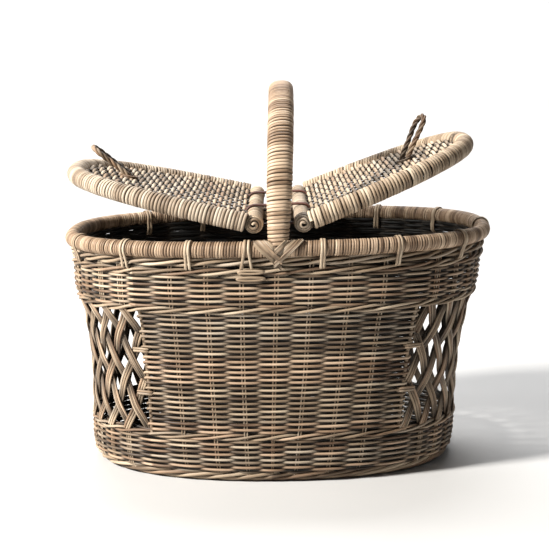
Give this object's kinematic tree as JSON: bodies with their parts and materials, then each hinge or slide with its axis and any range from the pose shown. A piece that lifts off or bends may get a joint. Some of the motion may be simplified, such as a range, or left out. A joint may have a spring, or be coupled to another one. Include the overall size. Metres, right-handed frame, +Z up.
{
  "type": "picnic basket",
  "caption": "Oval woven wicker picnic basket with lattice windows at the ends, an arched wrapped handle and two hinged lids with finger loops.",
  "frame": {"origin": "middle of the base plane, under the middle of the rim", "axes": "+X along the basket's length towards the right lid, +Y from front to back across the handle's arch, +Z up"},
  "size_m": [0.4597, 0.33, 0.4067],
  "materials": {
    "wall_cane": "weathered round cane, woven",
    "wale_cane": "weathered round cane, twisted courses",
    "stake_rod": "weathered stake rods",
    "lattice_cane": "flat bands of cane strands",
    "rim_cane": "rod roll wound with cane",
    "tie_cane": "split cane ties",
    "handle_cane": "smooth flat cane winding, slight sheen",
    "core_rod": "plain peeled rod",
    "lid_cane": "weathered cane, lid frame winding and weave",
    "loop_cane": "twisted round cane",
    "thong_leather": "dark worn leather thong"
  },
  "bodies": {
    "basket": {"back_panel": "wall_cane", "base_panel": "wall_cane", "bridge_bar": "core_rod", "edge_post_back_left": "stake_rod", "edge_post_back_right": "stake_rod", "edge_post_front_left": "stake_rod", "edge_post_front_right": "stake_rod", "foot_border": "wale_cane", "front_panel": "wall_cane", "handle_binding_back": "tie_cane", "handle_binding_front": "tie_cane", "handle_core": "core_rod", "handle_wrap": "handle_cane", "hinge_tie_left_back": "thong_leather", "hinge_tie_left_front": "thong_leather", "hinge_tie_right_back": "thong_leather", "hinge_tie_right_front": "thong_leather", "lattice_left": "lattice_cane", "lattice_right": "lattice_cane", "lower_band": "wall_cane", "rim_hoop": "rim_cane", "rim_tie_01": "tie_cane", "rim_tie_02": "tie_cane", "rim_tie_03": "tie_cane", "rim_tie_04": "tie_cane", "rim_tie_05": "tie_cane", "rim_tie_06": "tie_cane", "rim_tie_07": "tie_cane", "rim_tie_08": "tie_cane", "rim_tie_09": "tie_cane", "rim_tie_10": "tie_cane", "rim_tie_11": "tie_cane", "rim_tie_12": "tie_cane", "rim_tie_13": "tie_cane", "rim_tie_14": "tie_cane", "top_border": "wale_cane", "upper_band": "wall_cane", "window_tie_1": "tie_cane", "window_tie_2": "tie_cane", "window_tie_3": "tie_cane", "window_tie_4": "tie_cane", "window_tie_5": "tie_cane", "window_tie_6": "tie_cane", "window_tie_7": "tie_cane", "window_tie_8": "tie_cane"},
    "lid_left": {"lid_left_frame": "lid_cane", "lid_left_hinge_rod": "lid_cane", "lid_left_loop": "loop_cane", "lid_left_panel": "lid_cane"},
    "lid_right": {"lid_right_frame": "lid_cane", "lid_right_hinge_rod": "lid_cane", "lid_right_loop": "loop_cane", "lid_right_panel": "lid_cane"}
  },
  "joints": [
    {"name": "lid_left_hinge", "type": "hinge", "parent": "basket", "child": "lid_left", "pos_m": [-0.02374, 0, 0.2702], "axis": [0, 1, 0], "range_deg": [-14, 67.5]},
    {"name": "lid_right_hinge", "type": "hinge", "parent": "basket", "child": "lid_right", "pos_m": [0.02526, 0, 0.2708], "axis": [0, -1, 0], "range_deg": [-22.5, 58]}
  ]
}
